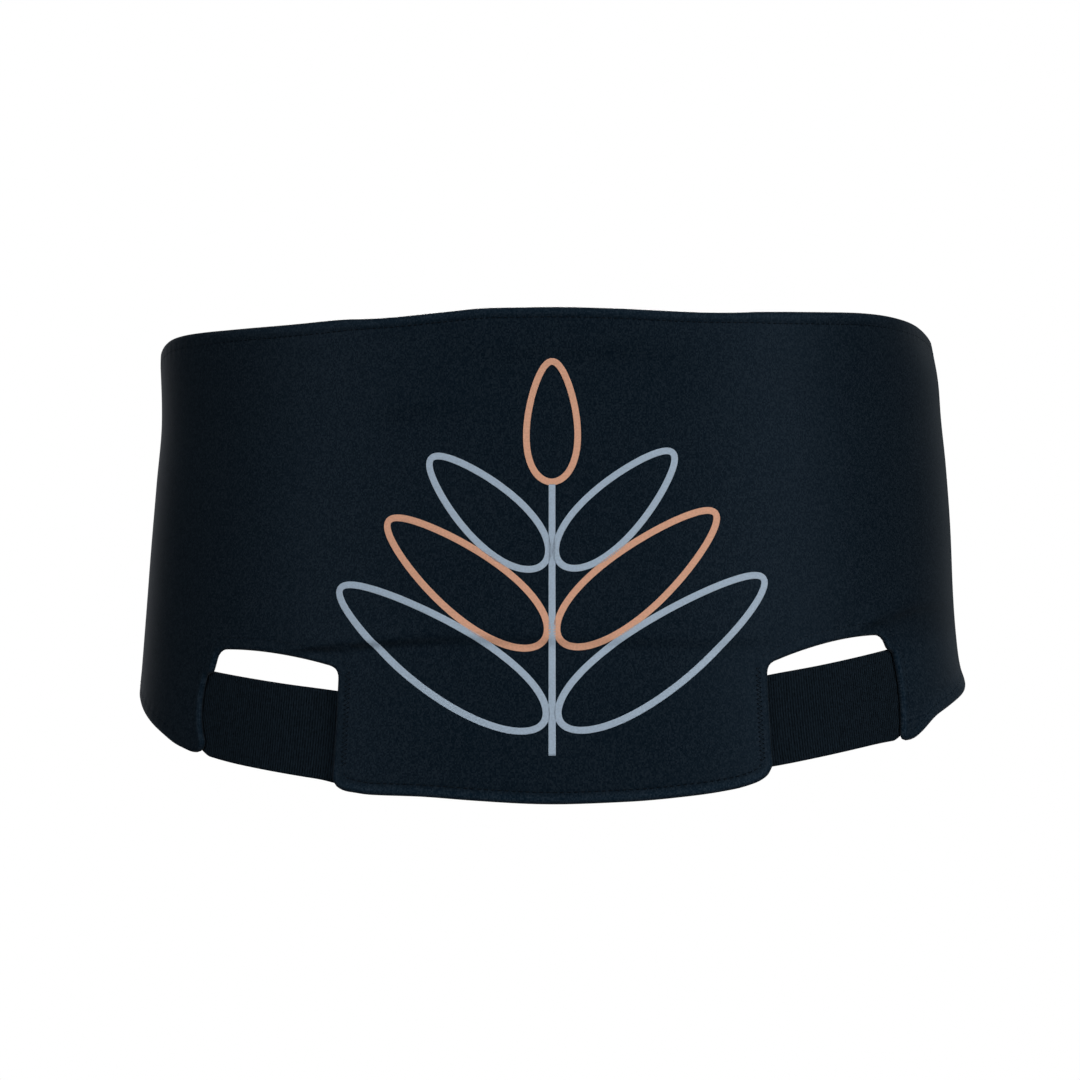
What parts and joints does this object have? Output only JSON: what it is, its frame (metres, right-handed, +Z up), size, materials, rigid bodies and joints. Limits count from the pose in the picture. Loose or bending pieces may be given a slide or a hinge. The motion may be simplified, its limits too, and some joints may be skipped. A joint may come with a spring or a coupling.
{
  "type": "kidney belt",
  "caption": "Worn softshell waist belt with a tail at the back, a notch each side of it bridged by ribbed elastic, and overlapping front ends closed by a hook patch.",
  "frame": {"origin": "the centre of the waist loop, at the height of the middle of the back panel", "axes": "+X to the right of the picture, which is the wearer's right-hand side; +Y the way the wearer faces; +Z up the body. The back panel shown in the picture faces -Y"},
  "size_m": [0.3826, 0.2601, 0.2134],
  "materials": {
    "softshell": "fine matt softshell with a soft sheen",
    "elastic": "ribbed woven elastic",
    "hook": "matt hook tape"
  },
  "bodies": {
    "root": {"belt_body": "softshell", "elastic_left": "elastic", "elastic_right": "elastic", "hook_patch": "hook"}
  },
  "joints": []
}
